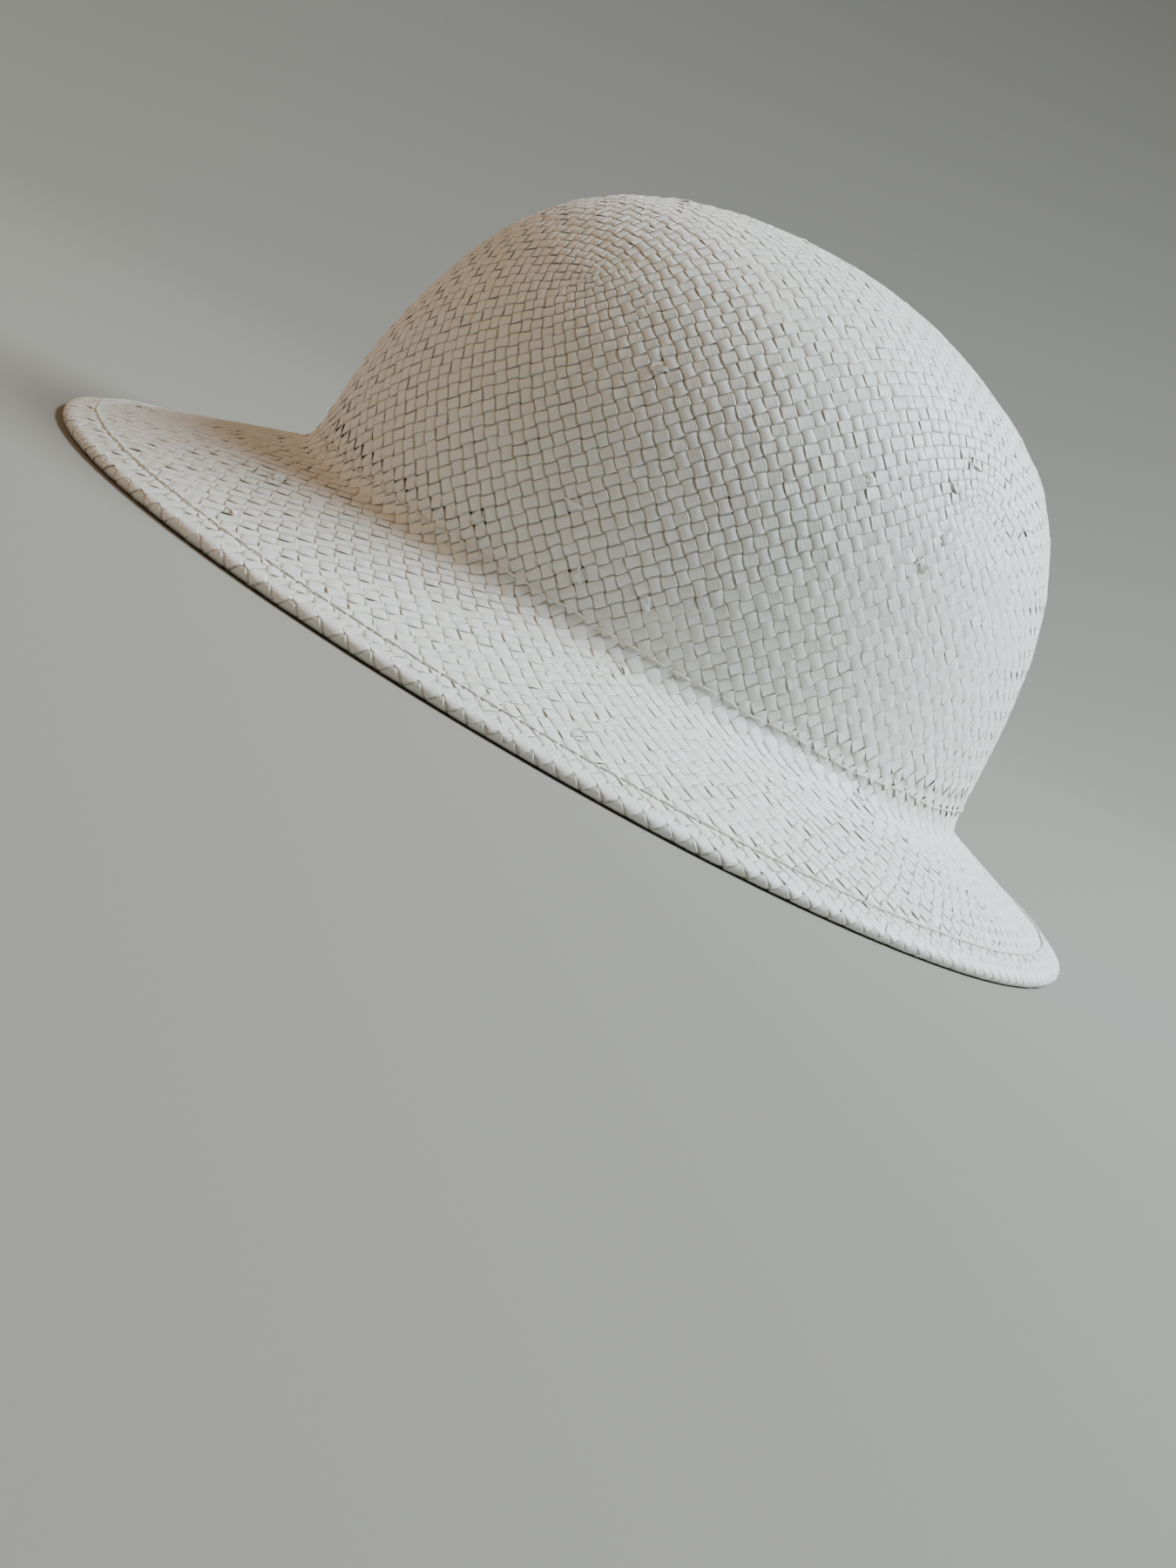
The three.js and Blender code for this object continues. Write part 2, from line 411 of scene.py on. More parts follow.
DOME_RINGS = 80
LOOSE_ROWS = 0.93
SETTLE_ROUNDS = 130
SETTLE_PULL = 0.6
rows_grid, angles_grid = np.meshgrid(np.linspace(0.02, 1, DOME_RINGS), ANGLES, indexing="ij")
dome_points = on_sheet(angles_grid.ravel(), rows_grid.ravel())[0]
dome_points = np.vstack([dome_points, [[0, crown_middle, dome_points[:, 2].max()]]])
dome_faces = []
for k in range(DOME_RINGS - 1):
    upper, lower = k * MERIDIANS, (k + 1) * MERIDIANS
    for m in range(MERIDIANS):
        n = (m + 1) % MERIDIANS
        dome_faces.append((upper + m, upper + n, lower + n, lower + m))
dome_faces += [(m, (m + 1) % MERIDIANS, len(dome_points) - 1) for m in range(MERIDIANS)]
dome = BVHTree.FromPolygons(dome_points.tolist(), dome_faces)
is_loose = net_row < LOOSE_ROWS
loose = np.nonzero(is_loose)[0]
loose_lines = np.array(sorted({
    tuple(sorted((face[k], face[(k + 1) % len(face)]))) for face in net_faces for k in range(len(face))
    if is_loose[face[k]] or is_loose[face[(k + 1) % len(face)]]
}))
one, two = loose_lines.T
for _ in range(SETTLE_ROUNDS):
    total, weight = np.zeros((len(net_row), 3)), np.zeros((len(net_row), 1))
    np.add.at(total, one, net_places[two])
    np.add.at(total, two, net_places[one])
    np.add.at(weight, one, 1)
    np.add.at(weight, two, 1)
    pulled = net_places[loose] * (1 - SETTLE_PULL) + total[loose] / weight[loose] * SETTLE_PULL
    net_places[loose] = [dome.find_nearest(place)[0] for place in pulled]
wandered = net_places[loose] + chance.normal(0, NET_WANDER * STRAW_PITCH * 1.2, (len(loose), 3))
net_places[loose] = [dome.find_nearest(place)[0] for place in wandered]
sums = np.zeros((len(net_row), 3))
for face in net_faces:
    if len(face) == 4 and is_loose[face].any():
        a, b, c, d = (net_places[v] for v in face)
        sums[face] += np.cross(c - a, d - b)
net_normals[loose] = sums[loose] / np.linalg.norm(sums[loose], axis=1, keepdims=True)

# Plaiting: each line of the net is a crossing. A strip that comes in over the corner of one face
# leaves by the opposite corner of the other, and at each crossing it goes from over to under.
face_of = {}
for index, face in enumerate(net_faces):
    for k in range(len(face)):
        face_of[face[k], face[(k + 1) % len(face)]] = index
crossings = {}
for start, end in face_of:
    crossings.setdefault((min(start, end), max(start, end)), len(crossings))
crossing_ends = np.array(list(crossings))


def next_line(face_index, start, end, pivot):
    """The next line of the net round one corner of a face, leaving the line start-end."""
    face = net_faces[face_index]
    k = face.index(pivot)
    before, after = face[k - 1], face[(k + 1) % len(face)]
    other = after if before in (start, end) else before
    return min(pivot, other), max(pivot, other)


def follow(start, end, face_index, pivot):
    """Crossings met by a strip from one edge of the net to the other: line, face and corner."""
    stops = [(start, end, face_index, pivot)]
    while face_index is not None:
        start, end = next_line(face_index, start, end, pivot)
        sides = face_of.get((start, end)), face_of.get((end, start))
        stops.append((start, end, face_index, pivot))
        face_index = sides[1] if sides[0] == face_index else sides[0]
        pivot = end if pivot == start else start
    return stops


def is_over(start, end, face_index, pivot):
    """Whether the strip that uses this corner lies on top where it meets the line."""
    head = end if face_of.get((start, end)) == face_index else start
    return pivot == head


strips = []
seen = set()
for a, b in [line for line in face_of if line[::-1] not in face_of]:
    start, end = min(a, b), max(a, b)
    for pivot in (start, end):
        if (start, end, pivot) in seen:
            continue
        stops = follow(start, end, face_of[a, b], pivot)
        seen.add((start, end, pivot))
        seen.add((stops[-1][0], stops[-1][1], stops[-1][3]))
        strips.append(([crossings[s, e] for s, e, _, _ in stops], [is_over(*stop) for stop in stops]))

# Where the strips cross: on the sheet by angle and row, and on the dome by the mat's own places.
one, two = crossing_ends.T
on_mat = is_loose[one] | is_loose[two]
gap = (net_angle[two] - net_angle[one] + math.pi) % (2 * math.pi) - math.pi
cross_angle = net_angle[one] + gap / 2
cross_row = (net_row[one] + net_row[two]) / 2
cross_places, cross_normals = on_sheet(cross_angle, cross_row)
cross_places[on_mat] = ((net_places[one] + net_places[two]) / 2)[on_mat]
mixed = net_normals[one] + net_normals[two]
cross_normals[on_mat] = (mixed / np.linalg.norm(mixed, axis=1, keepdims=True))[on_mat]
for c in np.nonzero(on_mat)[0]:
    cross_places[c] = dome.find_nearest(cross_places[c])[0]


def smooth_path(values, marks):
    """Points on a smooth curve through the values, at marks from 0 to 1 in each of its stretches."""
    padded = np.vstack([2 * values[0] - values[1], values, 2 * values[-1] - values[-2]])
    t = marks.T[:, :, None]
    a, b, c, d = padded[:-3], padded[1:-2], padded[2:-1], padded[3:]
    bow, swing = 2 * a - 5 * b + 4 * c - d, 3 * b - 3 * c + d - a
    curve = 0.5 * (2 * b + (c - a) * t + bow * t ** 2 + swing * t ** 3)
    curve = curve.transpose(1, 0, 2).reshape(-1, values.shape[1])
    return np.vstack([curve, values[-1:]])


def sheet_row(angles, gone):
    """Row at a length along the sheet from its edge, less than nothing on the brim and crown."""
    crown, brim = length_at(crown_lengths, angles), length_at(brim_lengths, angles)
    return (2 + np.clip(gone, 0, None) / hem_length + np.clip(gone, -brim, 0) / brim
            + np.clip(gone + brim, None, 0) / crown)


def sheet_beside(angles, rows, reach):
    """Places and outward normals beside points of the sheet, by a reach along its surface."""
    places, facing = on_sheet(angles, rows)
    around = np.column_stack([np.cos(angles), np.sin(angles), np.zeros(len(angles))])
    down = np.cross(around, facing)
    radius = np.hypot(places[:, 0], places[:, 1] - crown_middle)
    crown, brim = length_at(crown_lengths, angles), length_at(brim_lengths, angles)
    gone = (np.clip(rows - 1, -1, 0) * crown + (np.clip(rows, 1, 2) - 2) * brim
            + np.clip(rows - 2, 0, 1) * hem_length)
    new_rows = sheet_row(angles, gone + (reach * down).sum(axis=1))
    return on_sheet(angles + (reach * around).sum(axis=1) / radius, np.clip(new_rows, 0.01, 3))


# Straw strips: flat ribbons of white paper straw with rounded sides. Each one is a single strip
# from the hem on one side, over or round the crown, to the hem on another. One family of strips
# is wide and lies flat, the other is drawn tight and shows as the smaller squares between.
STRAW_LIFT = 0.00019
STRAW_THICK = 0.00018
FLAT_SHARE = 0.90
WIDE, NARROW = 1.15, 1.01
WIDE_BENDS, NARROW_BENDS = (0.37, 0.49, 0.60), (0.30, 0.42, 0.54)
BODY_ACROSS = (1, FLAT_SHARE, -FLAT_SHARE, -1)
EDGE_ACROSS = (1, FLAT_SHARE, 0.5, 0, -0.5, -FLAT_SHARE, -1)
BODY_MESHES, EDGE_MESHES = 4, 2
EDGE_FROM = 1.88
EDGE_LIFT = 0.6
RISE_SHAPE = (1.0, 0.95, 0.0, -0.95, -1.0)
# How far the colour is darkened along each stretch, most just where a strip dips under its neighbour's
# edge: painted shade in the gap, with some grime.
GAP_DARKENING_SHAPE = (0.0, 0.0, 0.9, 0.4, 0.0)
WIDTH_SHAPE = (1.0, 1.0, 0.97, 0.93, 0.93)
TWIST = math.radians(2.6)
KNOT_COUNT = 46
KNOT_REACH = 0.0026
knot_at = chance.choice(len(crossings), KNOT_COUNT, replace=False)
knot_gap = np.linalg.norm(cross_places[:, None] - cross_places[knot_at][None], axis=2).min(axis=1)
rumpled = np.exp(-(knot_gap / KNOT_REACH) ** 2) * (cross_row < 1.9)


def strip_path(ids, marks):
    """Places, normals, angles and rows along a strip, and where it lies on the sheet, not the mat."""
    places = smooth_path(cross_places[ids], marks)
    facing = smooth_path(cross_normals[ids], marks)
    facing /= np.linalg.norm(facing, axis=1, keepdims=True)
    fine = smooth_path(np.column_stack([np.unwrap(cross_angle[ids]), cross_row[ids]]), marks)
    angles, rows = fine[:, 0], np.clip(fine[:, 1], 0.01, 3)
    clear = np.convolve(~on_mat[ids], np.ones(5), "same") >= np.minimum(5, len(ids))
    clear[:2], clear[-2:] = ~on_mat[ids[0]], ~on_mat[ids[-1]]
    use = np.append(np.repeat(clear[:-1] & clear[1:], marks.shape[1]), clear[-1])
    sheet_places, sheet_normals = on_sheet(angles, rows)
    places[use], facing[use] = sheet_places[use], sheet_normals[use]
    return places, facing, angles, rows, use


step_pitch = {}
for ids, tops in strips:
    path = strip_path(ids, np.tile(np.arange(8) / 8, (len(ids) - 1, 1)))[0]
    steps = np.linalg.norm(np.diff(path, axis=0), axis=1)
    gone = np.concatenate([[0], np.cumsum(steps)])[::8]
    before, after = np.diff(gone, prepend=np.nan), np.diff(gone, append=np.nan)
    lengths = (np.nanmean([before, after], axis=0) + np.nanmax([before, after], axis=0)) * 0.5
    for crossing, top, length in zip(ids, tops, lengths):
        step_pitch[crossing, top] = length


def strip_steps(tops, bends, fine):
    """Marks of the samples in each stretch of a strip, and how far each is from over to under."""
    over = np.array([0, *bends, 1])
    rows = [over if top else 1 - over[::-1] for top in tops[:-1]]
    finely = np.arange(4 * fine) / fine
    marks = np.array([np.interp(finely, np.arange(5), row) for row in rows])
    phase = np.where(np.array(tops[:-1])[:, None], marks, 1 - marks)
    return marks, np.append(phase.ravel(), 0 if tops[-1] else 1)


def sides_of(path, facing):
    """Unit vectors square to a path and to its facing."""
    ahead = np.gradient(path, axis=0)
    side = np.cross(facing, ahead)
    return side / np.linalg.norm(side, axis=1, keepdims=True)


def woven_part(ids, tops, looks, bends, fine, across):
    """Section points, tone and gap darkening (painted shade and grime) of a stretch of strip that follows
    the sheet over and under.
    """
    marks, phase = strip_steps(tops, bends, fine)
    half, twist, thick_left, thick_right, tone = smooth_path(looks, marks).T
    at = [0, *bends, 1]
    path, facing, angles, rows, use = strip_path(ids, marks)
    at_edge = np.interp(rows, [1.93, 2.0], [1, EDGE_LIFT])
    rise = np.interp(phase, at, RISE_SHAPE) * STRAW_LIFT * at_edge
    half = half * np.interp(phase, at, WIDTH_SHAPE)
    side = sides_of(path, facing)
    sections = []
    for share in across:
        reach = side * (half * share)[:, None]
        places, normals = path + reach, facing.copy()
        places[use], normals[use] = sheet_beside(angles[use], rows[use], reach[use])
        thick = 0 if abs(share) == 1 else thick_left if share > 0 else thick_right
        tilt = half * share * np.sin(twist) * at_edge
        sections.append(places + normals * (rise + thick * at_edge + tilt)[:, None])
    return np.stack(sections, axis=1).reshape(-1, 3), tone, np.interp(phase, at, GAP_DARKENING_SHAPE)


def strip_faces(start, count, wide):
    """Faces of a strip whose section points begin at a vertex, closed at both ends."""
    k = np.arange(count - 1)[:, None] * wide + start
    turns = [(m, (m + 1) % wide) for m in range(wide)]
    quads = np.concatenate([np.hstack([k + m, k + m + wide, k + n + wide, k + n]) for m, n in turns])
    last = start + wide * (count - 1)
    ends = [list(range(start, start + wide)), list(range(last + wide - 1, last - 1, -1))]
    return quads.tolist() + ends


def strip_object(name, parts, across):
    """One mesh from strips given as (section points, tone, gap darkening for painted shade and grime), with
    a UV map along them.
    """
    wide = len(across)
    start = 0
    points, faces, uvs, tones, gap_darkenings = [], [], [], [], []
    for number, (vertices, tone, gap_darkening) in enumerate(parts):
        count = len(vertices) // wide
        points.append(vertices)
        faces += strip_faces(start, count, wide)
        start += len(vertices)
        middle = (vertices[0::wide] + vertices[wide - 1::wide]) / 2
        gone = np.concatenate([[0], np.cumsum(np.linalg.norm(np.diff(middle, axis=0), axis=1))])
        over = (1 - np.array(across)) / 2
        uvs.append(np.column_stack([np.tile(over, count) + number, np.repeat(gone / 0.02, wide)]))
        tones.append(np.repeat(tone, wide))
        gap_darkenings.append(np.repeat(gap_darkening, wide))
    mesh = bpy.data.meshes.new(name)
    mesh.from_pydata(np.vstack(points).tolist(), [], faces)
    loop_vertex = np.zeros(len(mesh.loops), int)
    mesh.loops.foreach_get("vertex_index", loop_vertex)
    mesh.uv_layers.new(name="strip").data.foreach_set("uv", np.vstack(uvs)[loop_vertex].ravel())
    mesh.attributes.new("tone", "FLOAT", "POINT").data.foreach_set("value", np.concatenate(tones))
    mesh.attributes.new("gap_darkening", "FLOAT", "POINT").data.foreach_set("value", np.concatenate(gap_darkenings))
    ends = np.zeros(len(mesh.edges) * 2, int)
    mesh.edges.foreach_get("vertices", ends)
    ends = ends.reshape(-1, 2) % wide
    sharp = (ends[:, 0] == ends[:, 1]) & np.isin(ends[:, 0], (0, 1, wide - 2, wide - 1))
    mesh.attributes.new("sharp_edge", "BOOLEAN", "EDGE").data.foreach_set("value", sharp)
    mesh.shade_smooth()
    piece = bpy.data.objects.new(name, mesh)
    bpy.context.scene.collection.objects.link(piece)
    return piece


body_parts = [[] for _ in range(BODY_MESHES)]
edge_parts = [[] for _ in range(EDGE_MESHES)]
for number, (ids, tops) in enumerate(strips):
    ids, tops = np.array(ids), np.array(tops)
    steps = np.diff(cross_places[ids][(net_row[one] < 0.3)[ids]][:, :2], axis=0)
    wide = np.sign(steps[:, 0] * steps[:, 1]).sum() > 0
    bends = WIDE_BENDS if wide else NARROW_BENDS
    own_width = chance.uniform(0.95, 1.04) * (WIDE if wide else NARROW)
    breadth = own_width + chance.normal(0, 0.035, len(ids)) - 0.2 * rumpled[ids]
    pitch = np.array([step_pitch[c, not t] for c, t in zip(ids, tops)])
    looks = np.column_stack([
        pitch * breadth / 2,
        chance.normal(0, TWIST, len(ids)) * (1 + 4 * rumpled[ids]),
        chance.uniform(0.7, 1.25, (len(ids), 2)) * STRAW_THICK,
        chance.random() * 0.6 + 0.4 * chance.random(len(ids)),
    ])
    inland = np.nonzero((cross_row[ids] < EDGE_FROM) & ~tops)[0]
    near_edge = [slice(0, len(ids))]
    if len(inland) > 1:
        body = slice(inland[0], inland[-1] + 1)
        body_parts[number % BODY_MESHES].append(
            woven_part(ids[body], tops[body], looks[body], bends, 1, BODY_ACROSS))
        near_edge = [slice(0, inland[0] + 1), slice(inland[-1], len(ids))]
    for part in near_edge:
        edge_parts[number % EDGE_MESHES].append(
            woven_part(ids[part], tops[part], looks[part], bends, 2, EDGE_ACROSS))
straw_pieces = []
for label, groups, across in (
    ("straw_strips", body_parts, BODY_ACROSS),
    ("straw_edge", edge_parts, EDGE_ACROSS),
):
    for k, parts in enumerate(groups):
        straw_pieces.append(strip_object(f"{label}_{k + 1}", parts, across))


class Wire:
    """A value in a material's nodes. Arithmetic on it adds Math nodes."""

    def __init__(self, socket):
        self.socket = socket

    @staticmethod
    def node(tree, kind, settings, sockets, output=0):
        """Add a node, give it its settings, then its sockets' values or links."""
        made = tree.nodes.new(kind)
        for name, value in settings.items():
            setattr(made, name, value)
        for name, value in sockets.items():
            if isinstance(value, Wire):
                tree.links.new(value.socket, made.inputs[name])
            else:
                made.inputs[name].default_value = value
        return Wire(made.outputs[output])

    def maths(self, operation, first, second=0.0):
        tree = self.socket.id_data
        return Wire.node(tree, "ShaderNodeMath", {"operation": operation}, {0: first, 1: second})

    def __add__(self, other):
        return self.maths("ADD", self, other)

    def __radd__(self, other):
        return self.maths("ADD", other, self)

    def __sub__(self, other):
        return self.maths("SUBTRACT", self, other)

    def __rsub__(self, other):
        return self.maths("SUBTRACT", other, self)

    def __mul__(self, other):
        return self.maths("MULTIPLY", self, other)

    def __rmul__(self, other):
        return self.maths("MULTIPLY", other, self)

    def __pow__(self, other):
        return self.maths("POWER", self, other)

    def __abs__(self):
        return self.maths("ABSOLUTE", self)

    def blend(self, first, second):
        """A colour between two, by this value."""
        return Wire.node(self.socket.id_data, "ShaderNodeMix", {"data_type": "RGBA"},
                         {0: self, 6: first, 7: second}, output=2)


STRAW_WHITE = (0.86, 0.85, 0.81, 1)
STRAW_CREAM = (0.80, 0.77, 0.69, 1)
# Brown of the painted shade and grime in the gaps between strips.
STRAW_GAP_SHADE_AND_GRIME = (0.39, 0.35, 0.275, 1)
straw, tree, shader = new_material("straw")
strip_uv = Wire.node(tree, "ShaderNodeUVMap", {"uv_map": "strip"}, {})
stretched = Wire.node(tree, "ShaderNodeMapping", {}, {"Vector": strip_uv, "Scale": (7, 1.4, 1)})
crease_look = {"Vector": stretched, "Scale": 1.0, "Detail": 3.0, "Roughness": 0.6}
creases = Wire.node(tree, "ShaderNodeTexNoise", {}, crease_look)
place = Wire.node(tree, "ShaderNodeTexCoord", {}, {}, output=3)
crumple = Wire.node(tree, "ShaderNodeTexNoise", {}, {"Vector": place, "Scale": 330.0, "Detail": 2.0})
across = Wire.node(tree, "ShaderNodeSeparateXYZ", {}, {"Vector": strip_uv})
off_middle = abs(across.maths("FRACT", across) - 0.5) * 2
tone = Wire.node(tree, "ShaderNodeAttribute", {"attribute_name": "tone"}, {}, output=2)
gap_darkening = Wire.node(tree, "ShaderNodeAttribute", {"attribute_name": "gap_darkening"}, {}, output=2)
face_colour = (tone * 0.75 + creases * 0.25).blend(STRAW_WHITE, STRAW_CREAM)
# Painted shade, with some grime: the colour goes towards the brown gap colour where a strip dips under its
# neighbour's edge and along each strip's bevelled sides, where the gaps between strips lie in shade.
shade = (gap_darkening - 0.30) * 1.4 + off_middle ** 16 * 0.6
low_shade = shade.maths("MAXIMUM", shade, 0.0)
shade_and_grime = low_shade.maths("MINIMUM", low_shade, 1.0)
tree.links.new(shade_and_grime.blend(face_colour, STRAW_GAP_SHADE_AND_GRIME).socket, shader.inputs["Base Color"])
tree.links.new((0.40 + creases * 0.2).socket, shader.inputs["Roughness"])
relief = creases * 0.7 + crumple * 0.5
bump = Wire.node(tree, "ShaderNodeBump", {}, {"Height": relief, "Distance": 0.00025, "Strength": 0.7})
tree.links.new(bump.socket, shader.inputs["Normal"])
for piece in straw_pieces:
    piece.data.materials.append(straw)
    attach(piece, "root")
    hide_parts("woven_body")

# Loose straw ends: where one straw gives out a new one is laid in, and the two short ends are
# left lying on the weave, curled and flattened by the block.
END_LENGTH = (0.0030, 0.0062)
END_HALF = (0.0005, 0.0010)
END_RISE = 0.00062
END_THICK = 0.00016
END_POINTS = 9
ends = []
for knot in knot_at[cross_row[knot_at] < 1.9]:
    for _ in range(2):
        middle, facing = Vector(cross_places[knot]), Vector(cross_normals[knot])
        lean = chance.uniform(0, 2 * math.pi)
        level = facing.orthogonal().normalized()
        level.rotate(Matrix.Rotation(lean, 3, facing))
        beside = facing.cross(level)
        length = chance.uniform(*END_LENGTH)
        curl = chance.uniform(-0.5, 0.5) * length
        points = []
        for t in np.linspace(-0.5, 0.5, END_POINTS):
            above = END_RISE - 0.0030 * (t - 0.12) ** 2 + 0.0001 * math.sin(9 * t + lean)
            points.append(middle + level * t * length + beside * curl * (t * t) * 2 + facing * above)
        half = chance.uniform(*END_HALF) * np.linspace(1, 0.55, END_POINTS)[:, None]
        line = np.array([list(point) for point in points])
        facings = np.tile(np.array(facing), (END_POINTS, 1))
        side = sides_of(line, facings)
        tilt = np.linspace(0, chance.uniform(-0.5, 0.5), END_POINTS)[:, None]
        sections = []
        for share in BODY_ACROSS:
            thick = 0 if abs(share) == 1 else END_THICK
            sections.append(line + side * half * share + facings * (thick + half * share * tilt))
        section = np.stack(sections, axis=1).reshape(-1, 3)
        ends.append((section, np.full(END_POINTS, chance.random()), np.zeros(END_POINTS)))
straw_ends = strip_object("straw_ends", ends, BODY_ACROSS)
straw_ends.data.materials.append(straw)
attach(straw_ends, "root")

# Sweatband: a cotton grosgrain ribbon, set against the inside of the crown where the CAD band
# stands, with its two ends lapped at the back and its ribs upright.
RIBBON_THICK = 0.0006
RIBBON_ROWS = 12
RIBBON_COLUMNS = 288
RIBBON_LAP = 0.10
RIBBON_DROP = 0.0010
RIPPLE = 0.00012
RIB_PITCH = 0.0011
band_points = np.array([vertex.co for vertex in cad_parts["sweatband"].data.vertices])
band_angles = np.arctan2(band_points[:, 0], crown_middle - band_points[:, 1]) % (2 * math.pi)
band_turns = np.unique(band_angles.round(3))
band_rows = []
for turn in band_turns:
    gap = (band_angles - turn + math.pi) % (2 * math.pi) - math.pi
    near = band_points[abs(gap) < 0.004]
    reach = np.hypot(near[:, 0], near[:, 1] - crown_middle)
    low, high = near[:, 2].min(), near[:, 2].max()
    levels = np.unique(near[:, 2].round(5))
    middles = [reach[abs(near[:, 2] - level) < 2e-5].mean() for level in levels]
    heights = np.linspace(low - RIBBON_DROP, high, RIBBON_ROWS + 1)
    band_rows.append(np.column_stack([np.interp(heights, levels, middles), heights]))
band_rows = np.array(band_rows)
turn_marks = np.append(band_turns, band_turns[0] + 2 * math.pi)


def on_band(angles, shares):
    """Radius and height of the middle of the ribbon by angle and share of its height."""
    column = np.interp(angles % (2 * math.pi), turn_marks, np.arange(len(turn_marks)))
    left = np.floor(column).astype(int) % len(band_turns)
    right = (left + 1) % len(band_turns)
    part = (column - np.floor(column))[:, None]
    rows = np.clip(shares * RIBBON_ROWS, 0, RIBBON_ROWS - 1e-6)
    below = np.floor(rows).astype(int)
    rise = (rows - below)[:, None]
    low = band_rows[left, below] * (1 - part) + band_rows[right, below] * part
    high = band_rows[left, below + 1] * (1 - part) + band_rows[right, below + 1] * part
    return low * (1 - rise) + high * rise


turns = np.linspace(math.pi - RIBBON_LAP / 2, 3 * math.pi + RIBBON_LAP / 2, RIBBON_COLUMNS + 1)
shares = np.linspace(0, 1, RIBBON_ROWS + 1)
round_turns, up_shares = (grid.ravel() for grid in np.meshgrid(turns, shares, indexing="ij"))
middles = on_band(round_turns, up_shares)
lapped = np.clip((round_turns - 3 * math.pi + RIBBON_LAP / 2) / (RIBBON_LAP * 0.3), 0, 1)
ripple = RIPPLE * np.sin(round_turns * 41) * (1 - up_shares)
sides = []
for side in (0.5, -0.5):
    radius = middles[:, 0] + side * RIBBON_THICK - lapped * RIBBON_THICK * 1.15 + ripple
    x, y = radius * np.sin(round_turns), crown_middle - radius * np.cos(round_turns)
    sides.append(np.column_stack([x, y, middles[:, 1]]))
ribbon_points = np.vstack(sides)
wide, tall = RIBBON_COLUMNS + 1, RIBBON_ROWS + 1
index = np.arange(2 * wide * tall).reshape(2, wide, tall)
ribbon_faces = []
for a, b in ((0, 1), (1, 0)):
    grid = index[a]
    quads = np.stack([grid[:-1, :-1], grid[1:, :-1], grid[1:, 1:], grid[:-1, 1:]], axis=-1).reshape(-1, 4)
    ribbon_faces.append(quads if a == 0 else quads[:, ::-1])
outer, inner = index
for one, two in (
    (outer[:, 0], inner[:, 0]), (inner[:, -1], outer[:, -1]), (inner[0], outer[0]), (outer[-1], inner[-1]),
):
    ribbon_faces.append(np.stack([one[:-1], two[:-1], two[1:], one[1:]], axis=-1))
mesh = bpy.data.meshes.new("sweatband_ribbon")
mesh.from_pydata(ribbon_points.tolist(), [], np.vstack(ribbon_faces).tolist())
loop_vertex = np.zeros(len(mesh.loops), int)
mesh.loops.foreach_get("vertex_index", loop_vertex)
flat_uv = np.column_stack([np.repeat(turns, tall) * foot_round / (2 * math.pi), middles[:, 1]])
mesh.uv_layers.new(name="flat").data.foreach_set("uv", np.vstack([flat_uv, flat_uv])[loop_vertex].ravel())
mesh.shade_smooth()
sweatband = bpy.data.objects.new("sweatband_ribbon", mesh)
bpy.context.scene.collection.objects.link(sweatband)
bpy.ops.object.select_all(action="DESELECT")
sweatband.select_set(True)
bpy.context.view_layer.objects.active = sweatband
bpy.ops.object.shade_smooth_by_angle(angle=math.radians(50))

RIBBON_CREAM = (0.78, 0.75, 0.67, 1)
RIBBON_SHADE = (0.60, 0.56, 0.47, 1)
grosgrain, tree, shader = new_material("grosgrain")
flat = Wire.node(tree, "ShaderNodeUVMap", {"uv_map": "flat"}, {})
along_ribbon = Wire.node(tree, "ShaderNodeSeparateXYZ", {}, {"Vector": flat})
rib_turns = along_ribbon * (2 * math.pi / RIB_PITCH)
ribs = rib_turns.maths("SINE", rib_turns)
threads = Wire.node(tree, "ShaderNodeTexNoise", {}, {"Vector": flat, "Scale": 1800.0, "Detail": 2.0})
light_part = ribs * 0.3 + threads * 0.5 + 0.25
tree.links.new(light_part.blend(RIBBON_SHADE, RIBBON_CREAM).socket, shader.inputs["Base Color"])
shader.inputs["Roughness"].default_value = 0.85
shader.inputs["Sheen Weight"].default_value = 0.25
relief = ribs * 0.5 + threads * 0.4
bump = Wire.node(tree, "ShaderNodeBump", {}, {"Height": relief, "Distance": 0.00025, "Strength": 0.8})
tree.links.new(bump.socket, shader.inputs["Normal"])
sweatband.data.materials.append(grosgrain)
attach(sweatband, "root")
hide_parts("sweatband")

# Sewing: cotton thread. A row of long running stitches holds the ribbon to the crown, just above
# the fold, and a machine row through the brim holds the turned hem, with a thread on each side.
THREAD_RADIUS = 0.00027
THREAD_SIDES = 6
BAND_STITCH = 0.0070
BAND_SEAM_ABOVE = {"front": 0.0050, "side": 0.0050, "back": 0.0085}
SEAM_LOWER = 0.0012
OUTSIDE_REACH, INSIDE_REACH = 0.00062, 0.0026
THREAD_END = 0.002
HEM_STITCH = 0.0052
HEM_TOP, HEM_KNIT, HEM_UNDER = 0.00068, 0.0012, 0.0033


def thread_tube(line, radius, sides=THREAD_SIDES, taper=False):
    """Points and faces of a round thread along a line."""
    line = np.asarray(line)
    ahead = np.gradient(line, axis=0)
    ahead /= np.linalg.norm(ahead, axis=1, keepdims=True)
    aside = np.cross(ahead, [0.31, 0.17, 0.93])
    aside /= np.linalg.norm(aside, axis=1, keepdims=True)
    third = np.cross(ahead, aside)
    turns = np.arange(sides) * 2 * math.pi / sides
    size = np.full(len(line), radius)
    if taper:
        size *= np.linspace(1, 0.35, len(line))
    ring = aside[:, None] * np.cos(turns)[None, :, None] + third[:, None] * np.sin(turns)[None, :, None]
    points = (line[:, None] + ring * size[:, None, None]).reshape(-1, 3)
    k = np.arange(len(line) - 1)[:, None] * sides
    m = np.arange(sides)[None]
    n = (m + 1) % sides
    faces = np.stack([k + m, k + n, k + n + sides, k + m + sides], axis=-1).reshape(-1, 4).tolist()
    last = (len(line) - 1) * sides
    return points, faces + [list(range(sides))[::-1], list(range(last, last + sides))]


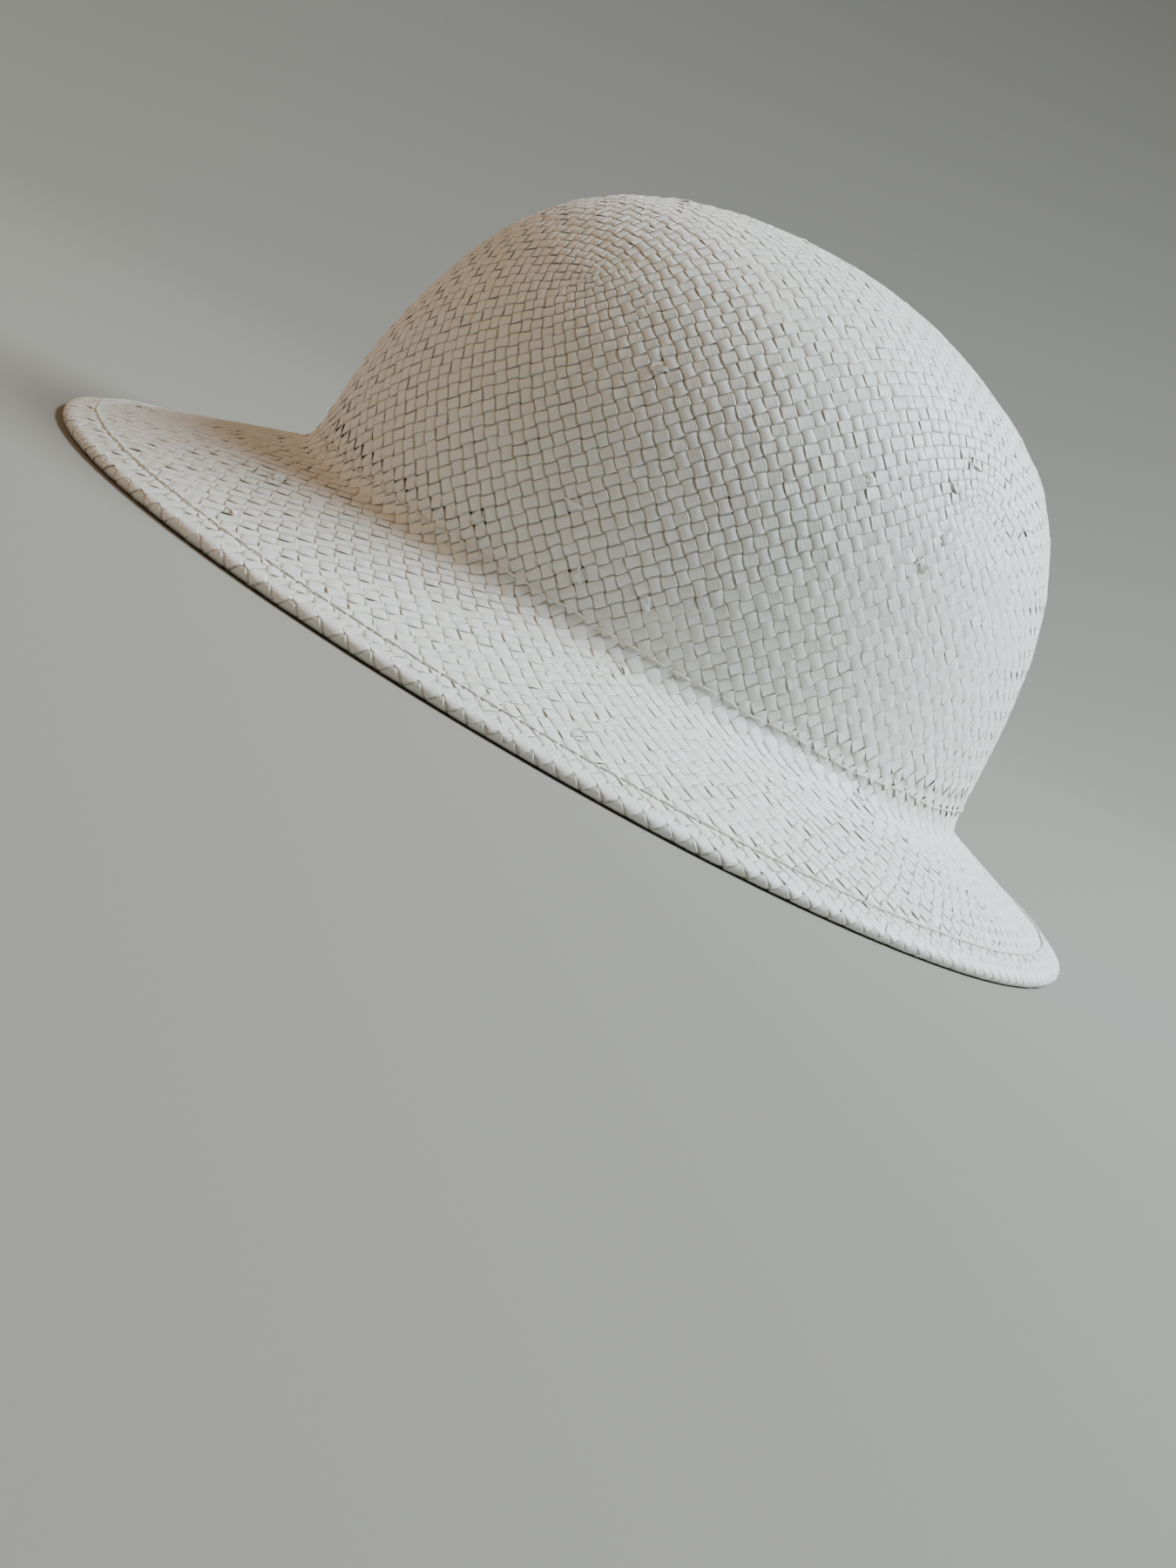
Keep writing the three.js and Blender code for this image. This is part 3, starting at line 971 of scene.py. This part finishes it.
def thread_object(name, tubes):
    """One mesh from several threads."""
    points, faces, start = [], [], 0
    for tube_points, tube_faces in tubes:
        points.append(tube_points)
        faces += [[v + start for v in face] for face in tube_faces]
        start += len(tube_points)
    mesh = bpy.data.meshes.new(name)
    mesh.from_pydata(np.vstack(points).tolist(), [], faces)
    mesh.shade_smooth()
    piece = bpy.data.objects.new(name, mesh)
    bpy.context.scene.collection.objects.link(piece)
    return piece


def uneven(where, count, spread):
    """A wander for a row of stitches, drawn once for each stitch."""
    return np.interp(where * count, np.arange(count + 1), chance.normal(0, spread, count + 1))


def blend_round(values, angles):
    """A value that differs at the front, the sides and the back of the hat."""
    front = np.maximum(np.cos(angles), 0) ** 2
    back = np.maximum(-np.cos(angles), 0) ** 2
    side = values["side"]
    return side + (values["front"] - side) * front + (values["back"] - side) * back


band_stitches = round(foot_round / BAND_STITCH)
steps = np.array([0.0, 0.04, 0.12, 0.37, 0.62, 0.70, 0.74, 0.80, 0.94])
outside = np.array([0.0, 0.8, 1.0, 1.0, 1.0, 0.8, 0.0, -1.0, -1.0])
where = (np.arange(band_stitches)[:, None] + steps[None]).ravel() / band_stitches
side_of = np.tile(outside, band_stitches)
angles = angle_at(where)
wander = uneven(where, band_stitches, 0.0003)
fold_run = -length_at(brim_lengths, angles)
rows = sheet_row(angles, fold_run - blend_round(BAND_SEAM_ABOVE, angles) + SEAM_LOWER + wander)
places, normals = on_sheet(angles, rows)
reach = np.where(side_of > 0, side_of * OUTSIDE_REACH, side_of * INSIDE_REACH)
band_line = places + normals * reach[:, None]
thread_end = [band_line[-1] + np.array([0, 0, -THREAD_END]) * t for t in np.linspace(0, 1, 5)]
band_tube = thread_tube(np.vstack([band_line, thread_end]), THREAD_RADIUS)
band_thread = thread_object("band_stitches", [band_tube])

edge_places = on_sheet(angle_marks, np.full(MERIDIANS + 1, 2.0))[0]
edge_round = np.linalg.norm(np.diff(edge_places, axis=0), axis=1).sum()
hem_stitches = round(edge_round / HEM_STITCH)
steps = np.array([0.0, 0.06, 0.2, 0.5, 0.8, 0.94])
lies = np.array([0.0, 0.75, 1.0, 1.0, 1.0, 0.75])
where = (np.arange(hem_stitches)[:, None] + steps[None]).ravel() / hem_stitches
angles = angle_at(where)
wander = uneven(where, hem_stitches, 0.00015)
rows = sheet_row(angles, EDGE_ROUND - HEM_SEAM + wander)
places, normals = on_sheet(angles, rows)
lie = np.tile(lies, hem_stitches)
top_line = places + normals * (lie * HEM_TOP)[:, None]
under_line = places - normals * (HEM_KNIT + lie * (HEM_UNDER - HEM_KNIT))[:, None]
hem_tubes = [thread_tube(line, THREAD_RADIUS) for line in (top_line, under_line)]
hem_thread = thread_object("hem_stitches", hem_tubes)

THREAD_CREAM = (0.88, 0.86, 0.80, 1)
THREAD_SHADE = (0.62, 0.57, 0.46, 1)
cotton, tree, shader = new_material("cotton_thread")
place = Wire.node(tree, "ShaderNodeTexCoord", {}, {}, output=3)
plies = Wire.node(tree, "ShaderNodeTexNoise", {}, {"Vector": place, "Scale": 2600.0, "Detail": 2.0})
tree.links.new(plies.blend(THREAD_SHADE, THREAD_CREAM).socket, shader.inputs["Base Color"])
shader.inputs["Roughness"].default_value = 0.8
bump = Wire.node(tree, "ShaderNodeBump", {}, {"Height": plies, "Distance": 0.0002, "Strength": 0.6})
tree.links.new(bump.socket, shader.inputs["Normal"])
for piece in (band_thread, hem_thread):
    piece.data.materials.append(cotton)
    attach(piece, "root")

# Stray fibres: hair-thin splinters of straw that stand out of the weave, spread round the hat over the
# crown, the brim and the hem.
FIBRE_COUNT = 90
FIBRE_RADIUS = 0.00006
fibres = []
for _ in range(FIBRE_COUNT):
    angle = np.array([chance.uniform(0, 2 * math.pi)])
    on_brim, at_hem, on_crown = chance.uniform(1.1, 1.95), chance.uniform(1.75, 2.1), chance.uniform(0.2, 1)
    row = np.array([chance.choice([on_brim, at_hem, on_crown])])
    root, facing = (item[0] for item in on_sheet(angle, row))
    level = np.cross(facing, chance.normal(0, 1, 3))
    level /= np.linalg.norm(level)
    bend = chance.normal(0, 1, 3)
    length = chance.uniform(0.002, 0.005)
    t = np.linspace(0, 1, 6)[:, None]
    rise = chance.uniform(0.1, 0.35)
    line = root + facing * (0.0003 + rise * length * t * (1 - 0.35 * t)) + level * length * t
    line = line + bend * length * 0.12 * t ** 2
    fibres.append(thread_tube(line, FIBRE_RADIUS, sides=3, taper=True))
fibre_piece = thread_object("stray_fibres", fibres)
fibre_piece.data.materials.append(straw)
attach(fibre_piece, "root")
